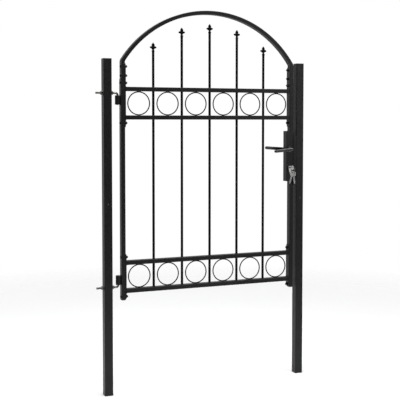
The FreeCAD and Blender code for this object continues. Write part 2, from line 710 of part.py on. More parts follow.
def lock_case():
    """The sheet case that carries the follower, the bolts and the cylinder."""
    outside = block(
        "case_outside",
        ("box_x + box_wall + 0.3", "box_x + box_width - 2"),
        ("-case_half", "case_half"),
        ("cylinder_z - 44", "spindle_z + 63"),
    )
    inside = block(
        "case_inside",
        ("box_x + box_wall + 1.3", "box_x + box_width"),
        ("case_wall - case_half", "case_half - case_wall"),
        ("cylinder_z - 42.5", "spindle_z + 61.5"),
    )
    hub = ("lock_x", "-2 * case_half", "spindle_z")
    tools = [inside, rod("case_hub_hole", "hub_dia / 2 + running_gap", hub, "4 * case_half", ALONG_Y)]
    tools.append(cylinder_profile("case_cylinder_hole", ("-2 * case_half", "2 * case_half"), 0.3))
    node(cut("lock_case", outside, *tools), "lock_case")


def screw(name, radius, head, rise, start, length):
    """A countersunk screw along +X whose head is flush with the plane at its start."""
    cone = doc.addObject("Part::Cone", name + "_head")
    cone.Placement = FreeCAD.Placement(Vector(), ALONG_X)
    bind(cone, Radius1=head, Radius2=radius, Height=rise)
    place(cone, *start)
    return fuse(name, cone, rod(name + "_shank", radius, start, length, ALONG_X))


def screw_in(name, radius, head, rise, start, length):
    """The same screw turned round, its head facing +X."""
    cone = doc.addObject("Part::Cone", name + "_head")
    cone.Placement = FreeCAD.Placement(Vector(), ALONG_X)
    bind(cone, Radius1=radius, Radius2=head, Height=rise)
    place(cone, f"{start[0]} - {rise}", start[1], start[2])
    shank = (f"{start[0]} - {length}", start[1], start[2])
    return fuse(name, cone, rod(name + "_shank", radius, shank, length, ALONG_X))


def forend():
    """The forend plate with its windows, its two screws and the cylinder's screw."""
    face = "box_x + box_width - 2 + forend_thick"
    plate = block(
        "forend_blank",
        ("box_x + box_width - 2", face),
        ("box_wall - box_depth / 2 + 0.2", "box_depth / 2 - box_wall - 0.2"),
        ("box_foot + box_wall + 0.3", "box_foot + box_rise - box_wall - 0.3"),
    )
    across = ("box_x", f"{face} + 1")
    tools = [
        block("forend_latch_window", across, ("-6.4", "6.4"), ("latch_z - 9.4", "latch_z + 9.4")),
        block("forend_bolt_window", across, ("-5.9", "5.9"), ("bolt_z - 9.4", "bolt_z + 9.4")),
    ]
    for number, height in enumerate(forend_screw_heights(), start=1):
        tools.append(screw_in(f"forend_sink_{number}", "2.1", "3.9", "2", (face, "0", height), "16"))
    sink = (face, "0", "cylinder_z - 19.5")
    tools.append(screw_in("forend_cylinder_sink", "2.6", "4.6", "2.2", sink, "16"))
    node(cut("forend_plate", plate, *tools), "forend_plate")
    screws = [
        screw_in(f"forend_screw_{number}", "1.95", "3.7", "2", (face, "0", height), "14")
        for number, height in enumerate(forend_screw_heights(), start=1)
    ]
    pair = doc.addObject("Part::Compound", "forend_screws")
    pair.Links = screws
    node(pair, "forend_screws")
    fixing = screw_in("cylinder_screw", "2.4", "4.4", "2.2", (face, "0", "cylinder_z - 19.5"), "32")
    node(fixing, "cylinder_screw")


def nosed_arm(name, reach, nose, half, axis, angle):
    """An arm a little slimmer than its round nose, turned about an axis along Y."""
    side = f"{nose} - 0.5"
    arm = block(name + "_arm", (f"-({side})", side), (f"-{half}", half), ("0", reach))
    tip = rod(name + "_nose", nose, ("0", f"-{half}", reach), f"2 * {half}", ALONG_Y)
    whole = fuse(name, arm, tip)
    whole.Placement = FreeCAD.Placement(Vector(), FreeCAD.Rotation(Vector(0, 1, 0), angle))
    place(whole, *axis)
    return whole


def follower():
    """The hub that the spindle turns; its nose draws the latch bolt back."""
    axis = ("lock_x", "0", "spindle_z")
    hub = rod("follower_hub", "hub_dia / 2", ("lock_x", "-case_half", "spindle_z"), "2 * case_half", ALONG_Y)
    arm = nosed_arm("follower_lever", "follower_arm", "3", "3", axis, FOLLOWER_REST)
    socket = square_bar("follower_square", "0.1", "20")
    node(cut("follower", fuse("follower_solid", hub, arm), socket), "follower")


def square_bar(name, grow, half):
    """A square bar on the lever axis, half the given length each side of the gate."""
    reach = f"spindle_side / 2 + {grow}"
    x = (f"lock_x - ({reach})", f"lock_x + {reach}")
    return block(name, x, (f"-{half}", half), (f"spindle_z - ({reach})", f"spindle_z + {reach}"))


def return_spring():
    """A wire spring round the follower's hub that lifts the levers again."""
    helix = doc.addObject("Part::Helix", "spring_path")
    helix.Radius = size("hub_dia") / 2 + 1.2
    helix.Pitch = 1.4
    helix.Height = 3.15
    doc.recompute()
    radius = float(helix.Radius)
    wire = 0.55
    first = helix.Shape.Vertexes[0].Point
    section = Part.Wire(Part.makeCircle(wire, first, Vector(0, 1, 0)))
    coil = Part.Wire(helix.Shape.Edges).makePipeShell([section], True, True)
    lower = Part.makeCylinder(wire, 8, first, Vector(0, -1, 0))
    upper = Part.makeCylinder(wire, 8, Vector(0, radius, 3.15), Vector(-1, 0, 0))
    spring = doc.addObject("Part::Feature", "return_spring")
    turn = FreeCAD.Rotation(Vector(1, 0, 0), 90)
    whole = Part.makeCompound([coil.fuse(lower).fuse(upper)]).Solids[0]
    spring.Shape = whole
    spring.Placement = FreeCAD.Placement(Vector(size("lock_x"), 7.2, size("spindle_z")), turn)
    node(spring, "return_spring")


def lever(name):
    """A lever on the front of the gate: a round neck and a flattened grip towards the hinges."""
    corner = ("lock_x", "-lever_reach", "spindle_z")
    neck = rod(name + "_neck", "neck_dia / 2", corner, "lever_reach - box_depth / 2 + 1", ALONG_Y)
    elbow = doc.addObject("Part::Sphere", name + "_elbow")
    bind(elbow, Radius="neck_dia / 2")
    place(elbow, *corner)
    sections = ((-1, 8.8, 8.6), (-18, 8.6, 7), (-45, 8.1, 5.7), (9 - size("lever_length"), 7.8, 5.4))
    grip = doc.addObject("Part::Feature", name + "_grip")
    grip.Shape = Part.makeLoft([oval(*section) for section in sections], True)
    place(grip, *corner)
    end = doc.addObject("Part::Ellipsoid", name + "_end")
    end.Placement = FreeCAD.Placement(Vector(), ALONG_X)
    end.Radius1 = 9
    end.Radius2 = 7.8
    end.Radius3 = 5.4
    end.Angle1 = -90
    end.Angle2 = 90
    place(end, "lock_x + 9 - lever_length", "-lever_reach", "spindle_z")
    return fuse(name + "_solid", neck, elbow, grip, end)


def oval(x, high, deep):
    """An oval wire round the X axis, high along Z and deep along Y."""
    curve = Part.Ellipse(Vector(x, 0, high), Vector(x, deep, 0), Vector(x, 0, 0))
    return Part.Wire(curve.toShape())


def levers():
    """The front lever, the same casting turned over behind, and the square spindle that joins them."""
    axis = Vector(size("lock_x"), 0, size("spindle_z"))
    droop = FreeCAD.Rotation(Vector(0, 1, 0), -size("lever_droop"))
    front = lever("front")
    front.Placement = FreeCAD.Placement(Vector(), droop, axis)
    back = lever("rear")
    turned_over = FreeCAD.Rotation(Vector(1, 0, 0), 180)
    back.Placement = FreeCAD.Placement(Vector(), turned_over * droop, axis)
    for label, solid, side in (("front_lever", front, -1), ("rear_lever", back, 1)):
        socket = square_bar(label + "_socket", "0.1", "45")
        tap = rod(label + "_tap", "2.5", ("lock_x", f"{side} * grub_y", "spindle_z - 20"), "20")
        node(cut(label, solid, socket, tap), label)
    node(square_bar("spindle", "0", "44"), "spindle")
    grubs = doc.addObject("Part::Compound", "grub_screws")
    grubs.Links = [
        rod(f"grub_screw_{number}", "2.45", ("lock_x", f"{side} * grub_y", "spindle_z - 8.6"), "4.5")
        for number, side in enumerate((-1, 1), start=1)
    ]
    node(grubs, "grub_screws")


def rose(label, start):
    """A collar on the face of the lock box in which a lever's neck turns."""
    outside = rod(label + "_outside", "neck_dia / 2 + 4", ("lock_x", start, "spindle_z"), "4.5", ALONG_Y)
    bore = ("lock_x", f"{start} - 1", "spindle_z")
    hole = rod(label + "_bore", "neck_dia / 2 + running_gap", bore, "7", ALONG_Y)
    node(cut(label, outside, hole), label)


def latch_bolt():
    """A sprung bolt, bevelled on the side that meets the keep as the gate closes."""
    tip = size("box_x") + size("box_width") + 1 + size("latch_throw")
    middle = size("latch_z")
    back = size("latch_back")
    half = size("latch_depth") / 2
    corners = [(back, -half), (tip - 11.5, -half), (tip, half - 2), (tip, half), (back, half)]
    outline = [Vector(x, y) for x, y in corners]
    head = Part.Face(Part.makePolygon(outline + outline[:1])).extrude(Vector(0, 0, 18))
    shape = doc.addObject("Part::Feature", "latch_head")
    shape.Shape = head
    shape.Placement = FreeCAD.Placement(Vector(0, 0, middle - 9), FreeCAD.Rotation())
    tail = block("latch_tail", ("latch_back - 13", "latch_back"), ("-3", "3"), ("latch_z - 7", "latch_z + 3"))
    lug_x = ("latch_back - 11", "latch_back - 6.6")
    lug = block("latch_lug", lug_x, ("-3", "3"), ("latch_z - 14.5", "latch_z - 7"))
    node(fuse("latch_bolt", shape, tail, lug), "latch_bolt")


def dead_bolt():
    """The bolt that the cylinder's cam throws; two jaws under its tail take the cam's nose."""
    slot = f"lock_x - cam_arm * sin({CAM_REST})"
    head_x = ("bolt_back", "bolt_back + 17.5")
    head = block("bolt_head", head_x, ("-5.5", "5.5"), ("bolt_z - 9", "bolt_z + 9"))
    tail = block("bolt_tail", (f"{slot} - 5.3", "bolt_back"), ("-2.5", "2.5"), ("bolt_z - 21", "bolt_z + 5"))
    jaws = [
        block(f"bolt_jaw_{number}", (f"{slot} + ({low})", f"{slot} + ({high})"), ("-2.5", "2.5"),
              ("cylinder_z + 12.8", "bolt_z - 21"))
        for number, (low, high) in enumerate(((-5.3, -3.1), (3.1, 5.3)), start=1)
    ]
    node(fuse("dead_bolt", head, tail, *jaws), "dead_bolt")


def cylinder():
    """A double lock cylinder: body, two plugs with keyways, and the cam between them."""
    whole = cylinder_profile("cylinder_blank", ("-cylinder_half", "cylinder_half"), 0)
    gap_z = ("cylinder_z - 8.8", "cylinder_z + 12")
    gap = block("cylinder_gap", ("lock_x - 12", "lock_x + 12"), ("-5.2", "5.2"), gap_z)
    start = ("lock_x", "-cylinder_half - 1", "cylinder_z")
    bore = rod("cylinder_bore", "plug_dia / 2 + running_gap", start, "2 * cylinder_half + 2", ALONG_Y)
    tapped = rod("cylinder_tapped", "2.5", ("lock_x - 6", "0", "cylinder_z - 19.5"), "12", ALONG_X)
    node(cut("cylinder_body", whole, gap, bore, tapped), "cylinder_body")
    for label, near, far in (("front_plug", "-cylinder_half", "4.8"), ("rear_plug", "5.4", "cylinder_half")):
        start = ("lock_x", near, "cylinder_z")
        barrel_part = rod(label + "_round", "plug_dia / 2", start, f"{far} - ({near})", ALONG_Y)
        mouth = ("-cylinder_half - 1", "4.5") if label == "front_plug" else ("8", "cylinder_half + 1")
        slot_z = ("cylinder_z - 4.2", "cylinder_z + 4.2")
        keyway = block(label + "_keyway", ("lock_x - 1.2", "lock_x + 1.2"), mouth, slot_z)
        node(cut(label, barrel_part, keyway), label)
    ring = rod("cam_ring", "plug_dia / 2 + 1.9", ("lock_x", "-4.8", "cylinder_z"), "9.6", ALONG_Y)
    arm = nosed_arm("cam_lever", "cam_arm", "2.5", "2.5", ("lock_x", "0", "cylinder_z"), -CAM_REST)
    hole = rod("cam_hole", "plug_dia / 2", ("lock_x", "-6", "cylinder_z"), "12", ALONG_Y)
    node(cut("lock_cam", fuse("cam_solid", ring, arm), hole), "lock_cam")


def key_blank():
    """A flat key hanging from the hole in its bow at the origin, its faces along Y."""
    thick = size("key_sheet")
    radius = size("bow_dia") / 2
    side = Vector(0, 1, 0)
    bow = Part.makeCylinder(radius, thick, Vector(0, -thick / 2, -6.5), side)
    blade = Part.makeBox(8, thick, size("key_length") - 8, Vector(-4, -thick / 2, -size("key_length")))
    hole = Part.makeCylinder(size("key_hole_dia") / 2, thick + 2, Vector(0, -thick / 2 - 1, 0), side)
    return bow.fuse(blade).cut(hole)


def keys():
    """The key in the lock, the ring through its bow and two spare keys on the ring."""
    blank = key_blank()
    x = size("lock_x")
    y = -size("key_hole_y")
    z = size("cylinder_z")
    into_lock = FreeCAD.Rotation(Vector(0, 0, -1), Vector(1, 0, 0), Vector(0, -1, 0), "ZXY")
    group("door_key", [moved(blank, x, y, z, into_lock)])
    radius = size("key_ring_dia") / 2
    wire = size("key_ring_wire") / 2
    middle = z - size("key_ring_drop") - radius
    group("key_ring", [Part.makeTorus(radius, wire, Vector(x, y, middle), Vector(0, 1, 0))])
    hang = middle - radius + wire - size("key_hole_dia") / 2 + 1.2
    spare = []
    for offset, twist, lean in ((-2.6, -48, 14), (2.6, -48, -8)):
        turn = FreeCAD.Rotation(Vector(0, 0, 1), twist).multiply(FreeCAD.Rotation(Vector(0, 1, 0), lean))
        spare.append(moved(blank, x + offset, y, hang, turn))
    group("spare_keys", spare)


def keep():
    """A folded channel on the lock post: windows for the bolts and a lip that stops the gate."""
    face = "post_spacing - post_side / 2"
    height = ("keep_foot", "keep_foot + keep_rise")
    front = "-box_depth / 2 - 0.3"
    base = block("keep_base", (face + " - keep_sheet", face), (front, "post_side / 2"), height)
    lip = block("keep_lip", (face + " - 18", face), (f"{front} - keep_sheet", front), height)
    flange = ("post_side / 2 - keep_sheet", "post_side / 2")
    rear = block("keep_rear", (face + " - keep_reach", face), flange, height)
    across = (face + " - keep_sheet - 1", face + " + 1")
    tools = [
        block("keep_latch_window", across, ("-7.5", "7.5"), ("latch_z - 10", "latch_z + 10")),
        block("keep_bolt_window", across, ("-7.5", "7.5"), ("bolt_z - 10.5", "bolt_z + 10.5")),
    ]
    screws = []
    for number, z in enumerate(("keep_foot + 12", "keep_foot + keep_rise - 12"), start=1):
        start = (face + " - keep_sheet", "0", z)
        tools.append(screw(f"keep_sink_{number}", "2.5", "4.7", "2.3", start, "5"))
        screws.append(screw(f"keep_screw_{number}", "2.4", "4.5", "2.3", start, "14"))
    node(cut("keep", fuse("keep_solid", base, lip, rear), *tools), "keep")
    pair = doc.addObject("Part::Compound", "keep_screws")
    pair.Links = screws
    node(pair, "keep_screws")


def post_screw():
    """A round-head screw in the front of the lock post."""
    face = -size("post_side") / 2
    front = Part.makeBox(20, 5, 20, Vector(-10, face - 5, -10))
    head = Part.makeSphere(5, Vector(0, face + 2.6, 0)).common(front)
    shank = Part.makeCylinder(1.9, 12, Vector(0, face, 0), Vector(0, 1, 0))
    group("post_screw", [moved(head.fuse(shank), size("post_screw_x"), 0, size("post_screw_z"))])


def check_and_write():
    """Checks every object of the document, then writes one file for each sub-part."""
    doc.recompute()
    for item in doc.Objects:
        if "Invalid" in item.State or "Error" in item.State:
            raise RuntimeError(f"{item.Label} is {item.State}")
    for item in nodes:
        if item.Shape.isNull() or not item.Shape.isValid() or not item.Shape.Solids:
            raise RuntimeError(f"{item.Label} has no valid solid")
    os.makedirs("parts", exist_ok=True)
    for item in nodes:
        item.Shape.exportStep(f"parts/{item.Label}.step")
        print(item.Label, len(item.Shape.Solids), round(item.Shape.Volume))


fill_sheet()
hinge_post()
lock_post()
post_caps()
upper_pin = size("upper_hook_z") - size("upper_barrel_z") + size("pin_tip")
lower_pin = size("lower_barrel_z") + size("barrel_rise") + size("pin_tip") - size("lower_hook_z")
hook("upper_hinge_hook", "upper_hook_z", upper_pin)
hook("lower_hinge_hook", "lower_hook_z", lower_pin, HALF_TURN_X)
hook_fasteners()
stile("hinge_stile", "hinge_stile_x", "leaf_foot", "leaf_seam")
stile("lower_lock_stile", "lock_stile_x", "leaf_foot", "box_foot")
stile("upper_lock_stile", "lock_stile_x", "box_foot + box_rise", "leaf_seam")
stile_plugs()
arch()
end_plates("upper_end_plates", size("upper_plate_foot"), size("upper_plate_top"))
end_plates("lower_end_plates", size("leaf_foot"), size("lower_plate_top"))
rail("bottom_rail", "bottom_rail_z", "rail_rise / 2")
rail("lower_band_rail", "lower_band_z")
rail("upper_band_rail", "upper_band_z")
rail("top_rail", "top_rail_z")
for number in range(1, BAR_COUNT + 1):
    bar(number)
    finial(number)
rings("lower_rings", "bottom_rail_z")
rings("upper_rings", "upper_band_z")
plate_fasteners()
barrel("upper_barrel", "upper_barrel_z")
barrel("lower_barrel", "lower_barrel_z")
lock_box()
lock_case()
forend()
follower()
return_spring()
levers()
rose("front_rose", "-box_depth / 2 - 4.5")
rose("rear_rose", "box_depth / 2")
latch_bolt()
dead_bolt()
cylinder()
keys()
keep()
post_screw()
check_and_write()
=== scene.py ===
"""Materials, small detail, camera and light for the arched garden gate, built around its CAD part."""

import json
import math

import bmesh
import bpy
from mathutils import Matrix, Vector


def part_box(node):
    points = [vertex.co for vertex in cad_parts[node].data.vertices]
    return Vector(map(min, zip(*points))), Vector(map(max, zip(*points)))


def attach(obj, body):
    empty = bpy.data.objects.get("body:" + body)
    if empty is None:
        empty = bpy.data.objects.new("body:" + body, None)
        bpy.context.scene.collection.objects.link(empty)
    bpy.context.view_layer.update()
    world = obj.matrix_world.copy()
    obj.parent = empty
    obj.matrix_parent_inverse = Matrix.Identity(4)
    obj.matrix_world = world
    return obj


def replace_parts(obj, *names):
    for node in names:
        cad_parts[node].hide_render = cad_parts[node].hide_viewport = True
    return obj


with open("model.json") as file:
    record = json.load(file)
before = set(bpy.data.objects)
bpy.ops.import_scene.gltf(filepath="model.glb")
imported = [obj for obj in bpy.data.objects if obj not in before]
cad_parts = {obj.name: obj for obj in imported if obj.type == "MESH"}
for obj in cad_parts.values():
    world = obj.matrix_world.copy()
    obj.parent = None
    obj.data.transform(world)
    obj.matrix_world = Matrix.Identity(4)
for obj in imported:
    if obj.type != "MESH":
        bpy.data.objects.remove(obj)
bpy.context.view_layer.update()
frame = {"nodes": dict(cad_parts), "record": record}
NODES = frame["nodes"]
MM = 0.001


# ---------------------------------------------------------------- node helpers

RANGE_SOCKETS = ("From Min", "From Max", "To Min", "To Max")


class Nodes:
    """Short calls for building one material's node tree."""

    def __init__(self, name):
        self.material = bpy.data.materials.new(name)
        self.material.use_nodes = True
        self.tree = self.material.node_tree
        self.shader = self.tree.nodes["Principled BSDF"]

    def add(self, kind, **settings):
        node = self.tree.nodes.new(kind)
        for key, value in settings.items():
            setattr(node, key, value)
        return node

    def link(self, start, end):
        self.tree.links.new(start, end)

    def set(self, **values):
        for key, value in values.items():
            self.shader.inputs[key.replace("_", " ")].default_value = value

    def place(self, scale=(1, 1, 1)):
        """Object coordinates in metres, stretched by scale."""
        coordinates = self.add("ShaderNodeTexCoord")
        mapping = self.add("ShaderNodeMapping")
        mapping.inputs["Scale"].default_value = scale
        self.link(coordinates.outputs["Object"], mapping.inputs["Vector"])
        return mapping.outputs["Vector"]

    def noise(self, grain, detail=3, rough=0.5, scale=(1, 1, 1)):
        """Noise whose grains are about that many metres across."""
        node = self.add("ShaderNodeTexNoise")
        node.inputs["Scale"].default_value = 1 / grain
        node.inputs["Detail"].default_value = detail
        node.inputs["Roughness"].default_value = rough
        self.link(self.place(scale), node.inputs["Vector"])
        return node.outputs["Fac"]

    def spread(self, value, low, high, to_low, to_high):
        """value from low..high mapped to to_low..to_high, and held at the ends."""
        node = self.add("ShaderNodeMapRange")
        for key, number in zip(RANGE_SOCKETS, (low, high, to_low, to_high)):
            node.inputs[key].default_value = number
        self.link(value, node.inputs["Value"])
        return node.outputs["Result"]

    def ramp(self, value, *stops):
        """A colour ramp through (place, colour) stops."""
        node = self.add("ShaderNodeValToRGB")
        elements = node.color_ramp.elements
        for number, (position, colour) in enumerate(stops):
            element = elements[number] if number < 2 else elements.new(position)
            element.position = position
            element.color = (*colour, 1)
        self.link(value, node.inputs["Fac"])
        return node.outputs["Color"]

    def mix(self, factor, first, second):
        node = self.add("ShaderNodeMix", data_type="RGBA")
        self.link(factor, node.inputs["Factor"])
        for socket, value in ((node.inputs["A"], first), (node.inputs["B"], second)):
            if isinstance(value, tuple):
                socket.default_value = (*value, 1)
            else:
                self.link(value, socket)
        return node.outputs["Result"]

    def bump(self, height, depth, strength=1.0, below=None):
        """A bump of that depth in metres, over the one below it."""
        node = self.add("ShaderNodeBump")
        node.inputs["Strength"].default_value = strength
        node.inputs["Distance"].default_value = depth
        self.link(height, node.inputs["Height"])
        if below is not None:
            self.link(below, node.inputs["Normal"])
        return node.outputs["Normal"]

    def edges(self, radius):
        """1 on sharp edges, falling to 0 at that radius from them."""
        rounded = self.add("ShaderNodeBevel", samples=6)
        rounded.inputs["Radius"].default_value = radius
        flat = self.add("ShaderNodeNewGeometry")
        dot = self.add("ShaderNodeVectorMath", operation="DOT_PRODUCT")
        self.link(rounded.outputs["Normal"], dot.inputs[0])
        self.link(flat.outputs["Normal"], dot.inputs[1])
        return self.spread(dot.outputs["Value"], 0.995, 0.8, 0, 1)

    def done(self, colour=None, rough=None, normal=None):
        for value, socket in ((colour, "Base Color"), (rough, "Roughness"), (normal, "Normal")):
            if value is not None:
                self.link(value, self.shader.inputs[socket])
        return self.material


def powder_coat():
    """Satin black powder coat: a fine orange peel, tiny pits, and edges painted a little lighter,
    partly as rubbed wear and partly as a painted highlight.
    """
    n = Nodes("black_powder_coat")
    cloud = n.noise(0.06, 2)
    colour = n.ramp(cloud, (0.3, (0.004, 0.004, 0.0042)), (0.7, (0.0065, 0.0065, 0.0068)))
    # edges painted lighter: partly rubbed wear, partly a painted highlight along every edge
    colour = n.mix(n.spread(n.edges(0.8 * MM), 0, 1, 0, 0.2), colour, (0.04, 0.04, 0.042))
    rough = n.spread(n.noise(0.012, 4), 0.3, 0.7, 0.38, 0.48)
    peel = n.noise(1.6 * MM, 2)
    grain = n.noise(0.35 * MM, 1)
    normal = n.bump(grain, 0.012 * MM, 0.5, n.bump(peel, 0.06 * MM, 0.55))
    n.set(Metallic=0.0, IOR=1.5, Specular_IOR_Level=0.3)
    return n.done(colour, rough, normal)


def rod_coat():
    """The same coat on the bars, rings and finials: a deeper black, and smoother on the round rods."""
    n = Nodes("black_rod_coat")
    cloud = n.noise(0.03, 2)
    colour = n.ramp(cloud, (0.3, (0.0015, 0.0015, 0.0016)), (0.7, (0.003, 0.003, 0.0031)))
    rough = n.spread(n.noise(0.008, 3), 0.3, 0.7, 0.52, 0.62)
    normal = n.bump(n.noise(1.2 * MM, 2), 0.02 * MM, 0.3)
    n.set(Metallic=0.0, IOR=1.5, Specular_IOR_Level=0.08)
    return n.done(colour, rough, normal)


def black_fastener():
    """Black zinc on bolts and nuts: glossier than the coat, with a painted highlight on the corners."""
    n = Nodes("black_fasteners")
    colour = n.ramp(n.noise(4 * MM, 3), (0.3, (0.002, 0.002, 0.0022)), (0.7, (0.0045, 0.0045, 0.0048)))
    # painted highlight: the corners are mixed towards a lighter grey as glints
    colour = n.mix(n.spread(n.edges(0.4 * MM), 0, 1, 0, 0.3), colour, (0.06, 0.06, 0.06))
    rough = n.spread(n.noise(1.5 * MM, 3), 0.3, 0.7, 0.3, 0.42)
    normal = n.bump(n.noise(0.5 * MM, 2), 0.02 * MM, 0.5)
    n.set(Metallic=0.0, IOR=1.5, Specular_IOR_Level=0.25)
    return n.done(colour, rough, normal)


def black_plastic():
    """Moulded black plastic with a fine spark texture."""
    n = Nodes("black_plastic")
    colour = n.ramp(n.noise(0.02, 3), (0.3, (0.012, 0.012, 0.012)), (0.7, (0.02, 0.02, 0.021)))
    rough = n.spread(n.noise(3 * MM, 3), 0.3, 0.7, 0.48, 0.6)
    normal = n.bump(n.noise(0.4 * MM, 3, 0.7), 0.05 * MM, 0.6)
    n.set(Metallic=0.0, IOR=1.48)
    return n.done(colour, rough, normal)


def zinc():
    """Bright zinc plate with a faint straw tint and a dull bloom in patches."""
    n = Nodes("zinc")
    bloom = n.noise(6 * MM, 5, 0.6)
    straw = (0.225, 0.22, 0.205)
    colour = n.ramp(bloom, (0.25, (0.16, 0.157, 0.146)), (0.5, straw), (0.8, (0.19, 0.19, 0.19)))
    # painted highlight: the edges are mixed towards a bright grey
    colour = n.mix(n.spread(n.edges(0.35 * MM), 0, 1, 0, 0.5), colour, (0.5, 0.5, 0.48))
    rough = n.spread(bloom, 0.3, 0.7, 0.26, 0.44)
    normal = n.bump(n.noise(0.6 * MM, 3), 0.03 * MM, 0.5)
    n.set(Metallic=1.0)
    return n.done(colour, rough, normal)


def ground_steel(name, low, high, scale, rough=(0.26, 0.38)):
    """Steel ground in one direction: scale stretches the scratches."""
    n = Nodes(name)
    scratch = n.noise(0.25 * MM, 4, 0.65, scale)
    colour = n.ramp(n.noise(9 * MM, 4), (0.3, low), (0.7, high))
    # painted highlight: the edges are mixed towards a bright grey
    colour = n.mix(n.spread(n.edges(0.3 * MM), 0, 1, 0, 0.4), colour, (0.75, 0.75, 0.74))
    normal = n.bump(scratch, 0.02 * MM, 0.35)
    n.set(Metallic=1.0)
    return n.done(colour, n.spread(scratch, 0.3, 0.7, *rough), normal)


def lever_metal():
    """Cast lever under dark satin chrome: soft ripples, brushed along its length, dulled by hands."""
    n = Nodes("lever_metal")
    brush = n.noise(0.2 * MM, 3, 0.6, (0.06, 1, 1))
    hold = n.noise(0.03, 3)
    colour = n.ramp(hold, (0.3, (0.045, 0.045, 0.047)), (0.7, (0.08, 0.08, 0.08)))
    # painted highlight: the edges are mixed towards a light grey, standing for the bright edges the
    # lights give
    colour = n.mix(n.spread(n.edges(0.5 * MM), 0, 1, 0, 0.5), colour, (0.3, 0.3, 0.3))
    normal = n.bump(brush, 0.012 * MM, 0.4, n.bump(n.noise(8 * MM, 2), 0.12 * MM, 0.25))
    n.set(Metallic=1.0)
    return n.done(colour, n.spread(brush, 0.3, 0.7, 0.2, 0.32), normal)


def nickel():
    """Nickel plate with fine handling scratches in every direction."""
    n = Nodes("nickel")
    first = n.noise(0.25 * MM, 4, 0.7, (1, 1, 0.08))
    second = n.noise(0.25 * MM, 4, 0.7, (0.08, 1, 1))
    colour = n.ramp(n.noise(5 * MM, 4), (0.3, (0.5, 0.495, 0.485)), (0.7, (0.62, 0.615, 0.6)))
    # painted highlight: the edges are mixed towards a lighter grey
    colour = n.mix(n.spread(n.edges(0.25 * MM), 0, 1, 0, 0.5), colour, (0.7, 0.7, 0.68))
    normal = n.bump(second, 0.01 * MM, 0.35, n.bump(first, 0.01 * MM, 0.35))
    n.set(Metallic=1.0)
    return n.done(colour, n.spread(first, 0.3, 0.7, 0.3, 0.44), normal)


MATERIALS = {
    "black_powder_coat": powder_coat(),
    "rods": rod_coat(),
    "black_fasteners": black_fastener(),
    "black_plastic": black_plastic(),
    "zinc": zinc(),
    "lock_steel": ground_steel("lock_steel", (0.36, 0.36, 0.36), (0.5, 0.5, 0.49), (1, 1, 0.07)),
    "lever_metal": lever_metal(),
    "nickel": nickel(),
}


def dress(piece, slot):
    piece.data.materials.clear()
    piece.data.materials.append(MATERIALS[slot])


BARS = [f"bar_{number}" for number in range(1, 6)]

for part in frame["record"]["subparts"]:
    dress(NODES[part["node"]], part["material_slot"])
for thin in BARS + ["lower_rings", "upper_rings"]:
    dress(NODES[thin], "rods")
dress(NODES["post_screw"], "lever_metal")


# ---------------------------------------------------------------- mesh helpers


def rider(name, mesh, body, slot, look=None):
    """An object that rides on a body, in one of the record's slots, with its look or another."""
    item = bpy.data.objects.new(name, mesh)
    bpy.context.scene.collection.objects.link(item)
    dress(item, look or slot)
    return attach(item, body)


class Surface:
    """Collects the points and faces of one piece."""

    def __init__(self):
        self.points = []
        self.faces = []

    def skin(self, rings, closed=False):
        """A skin over rings of points; its ends are capped unless the row of rings closes on itself."""
        first = len(self.points)
        across = len(rings[0])
        for ring in rings:
            self.points.extend(ring)
        for row in range(len(rings) if closed else len(rings) - 1):
            near = first + row * across
            far = first + (row + 1) % len(rings) * across
            for k in range(across):
                after = (k + 1) % across
                self.faces.append((near + k, near + after, far + after, far + k))
        if not closed:
            last = first + (len(rings) - 1) * across
            self.faces.append(tuple(range(first, first + across)))
            self.faces.append(tuple(range(last, last + across)))

    def tube(self, path, side, radius_at, sides=8, closed=False):
        """A tube along a flat path; side is the direction square to that plane."""
        rings = []
        count = len(path)
        for k, point in enumerate(path):
            before = path[k - 1] if k > 0 or closed else path[0]
            after = path[(k + 1) % count] if k < count - 1 or closed else path[-1]
            out = (after - before).normalized().cross(side)
            ring = []
            for corner in range(sides):
                angle = 2 * math.pi * corner / sides
                radius = radius_at(k, angle)
                ring.append(point + radius * (math.cos(angle) * side + math.sin(angle) * out))
            rings.append(ring)
        self.skin(rings, closed)

    def piece(self, name, body, slot, sharp, look=None):
        """The finished object, riding on a body; edges bent by more than sharp degrees stay sharp."""
        mesh = bpy.data.meshes.new(name)
        mesh.from_pydata(self.points, [], self.faces)
        tidy = bmesh.new()
        tidy.from_mesh(mesh)
        bmesh.ops.recalc_face_normals(tidy, faces=tidy.faces)
        tidy.to_mesh(mesh)
        tidy.free()
        mesh.shade_smooth()
        mesh.set_sharp_from_angle(angle=math.radians(sharp))
        return rider(name, mesh, body, slot, look)


def stepped(corners, step, closed=False):
    """Points a step apart along straight runs through the corners."""
    path = []
    ends = corners[1:] + corners[:1] if closed else corners[1:]
    for start, end in zip(corners, ends):
        count = max(1, round((end - start).length / step))
        path += [start.lerp(end, k / count) for k in range(count)]
    return path if closed else path + [corners[-1]]


def middle_of(node):
    low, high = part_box(node)
    return (low + high) / 2


# ---------------------------------------------------------------- hinge hooks

THREAD_PITCH = 1.5 * MM
THREAD_DEPTH = 0.9 * MM
HOOK_BEND = 10 * MM
THREAD_PAST_NUTS = 7 * MM
THREAD_FADE = 2 * MM
ROD_CHAMFER = 1 * MM


